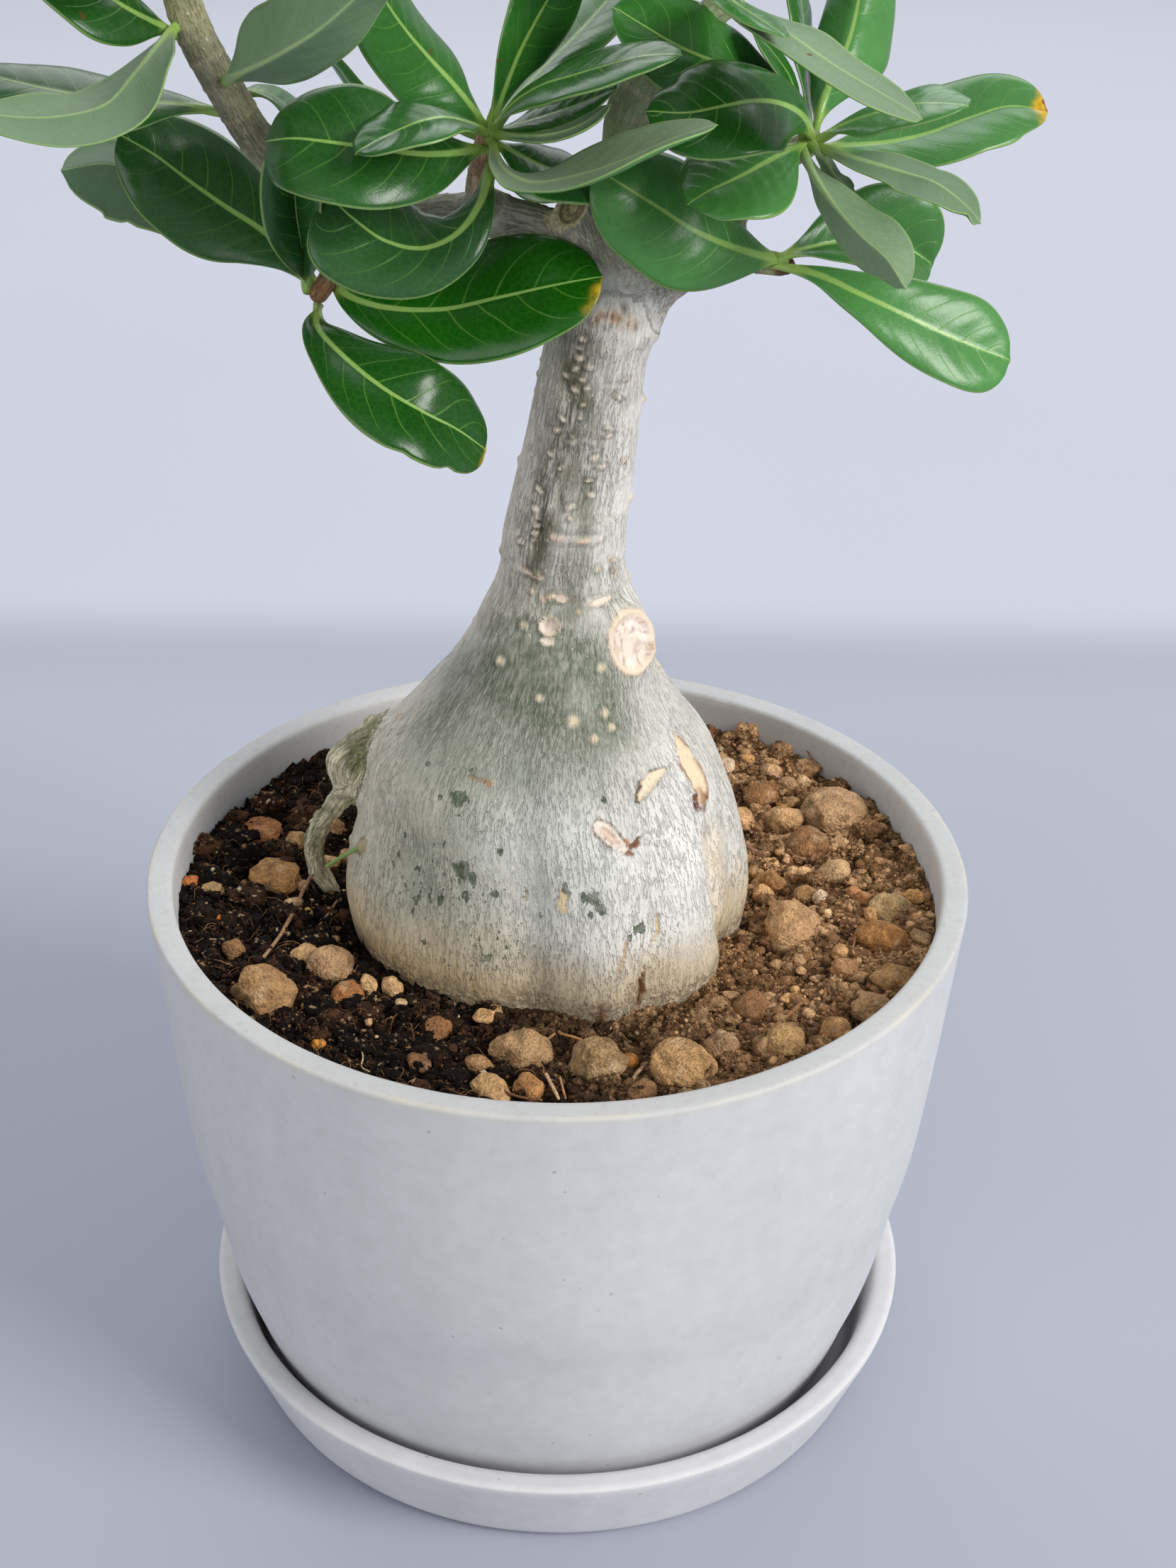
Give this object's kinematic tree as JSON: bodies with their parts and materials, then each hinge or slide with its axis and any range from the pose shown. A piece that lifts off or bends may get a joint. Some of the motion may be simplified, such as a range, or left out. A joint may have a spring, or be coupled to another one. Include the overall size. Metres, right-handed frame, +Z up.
{
  "type": "potted desert rose",
  "caption": "Potted desert rose: swollen caudex with a sawn-off stub, branching stems and broad green leaves, in soil in a round grey pot on its saucer.",
  "frame": {"origin": "centre of the pot's axis on the underside of the saucer, which stands on the table", "axes": "+Z up, +X to the right and +Y away from the viewer of the pictured side"},
  "size_m": [0.2261, 0.2, 0.3993],
  "materials": {
    "pot_grey": "matte",
    "soil": "matte",
    "bark": "matte",
    "leaf": "satin",
    "stone": "matte"
  },
  "bodies": {
    "root": {"saucer": "pot_grey", "pot": "pot_grey", "soil": "soil", "adenium_plant": "bark", "stone_left_large": "stone", "stone_left_middle": "stone", "stone_left_back": "stone", "stone_front_right": "stone", "stone_front_middle": "stone", "stone_front_lump": "stone", "stone_right_back": "stone", "leaf_left_top_1": "leaf", "leaf_left_top_2": "leaf", "leaf_left_top_3": "leaf", "leaf_left_top_4": "leaf", "leaf_left_top_5": "leaf", "leaf_left_top_6": "leaf", "leaf_left_top_7": "leaf", "leaf_left_top_8": "leaf", "leaf_left_top_9": "leaf", "leaf_left_top_10": "leaf", "leaf_left_low_1": "leaf", "leaf_left_low_2": "leaf", "leaf_left_low_3": "leaf", "leaf_left_low_4": "leaf", "leaf_left_low_5": "leaf", "leaf_middle_1": "leaf", "leaf_middle_2": "leaf", "leaf_middle_3": "leaf", "leaf_middle_4": "leaf", "leaf_middle_5": "leaf", "leaf_middle_6": "leaf", "leaf_middle_7": "leaf", "leaf_middle_8": "leaf", "leaf_middle_9": "leaf", "leaf_middle_10": "leaf", "leaf_middle_11": "leaf", "leaf_middle_12": "leaf", "leaf_middle_13": "leaf", "leaf_top_1": "leaf", "leaf_top_2": "leaf", "leaf_top_3": "leaf", "leaf_top_4": "leaf", "leaf_top_5": "leaf", "leaf_top_6": "leaf", "leaf_top_7": "leaf", "leaf_right_1": "leaf", "leaf_right_2": "leaf", "leaf_right_3": "leaf", "leaf_right_4": "leaf", "leaf_right_5": "leaf", "leaf_right_6": "leaf", "leaf_right_7": "leaf", "leaf_right_8": "leaf", "leaf_right_9": "leaf", "leaf_right_10": "leaf", "leaf_right_11": "leaf", "leaf_right_low_1": "leaf", "leaf_right_low_2": "leaf", "leaf_right_low_3": "leaf"}
  },
  "joints": []
}
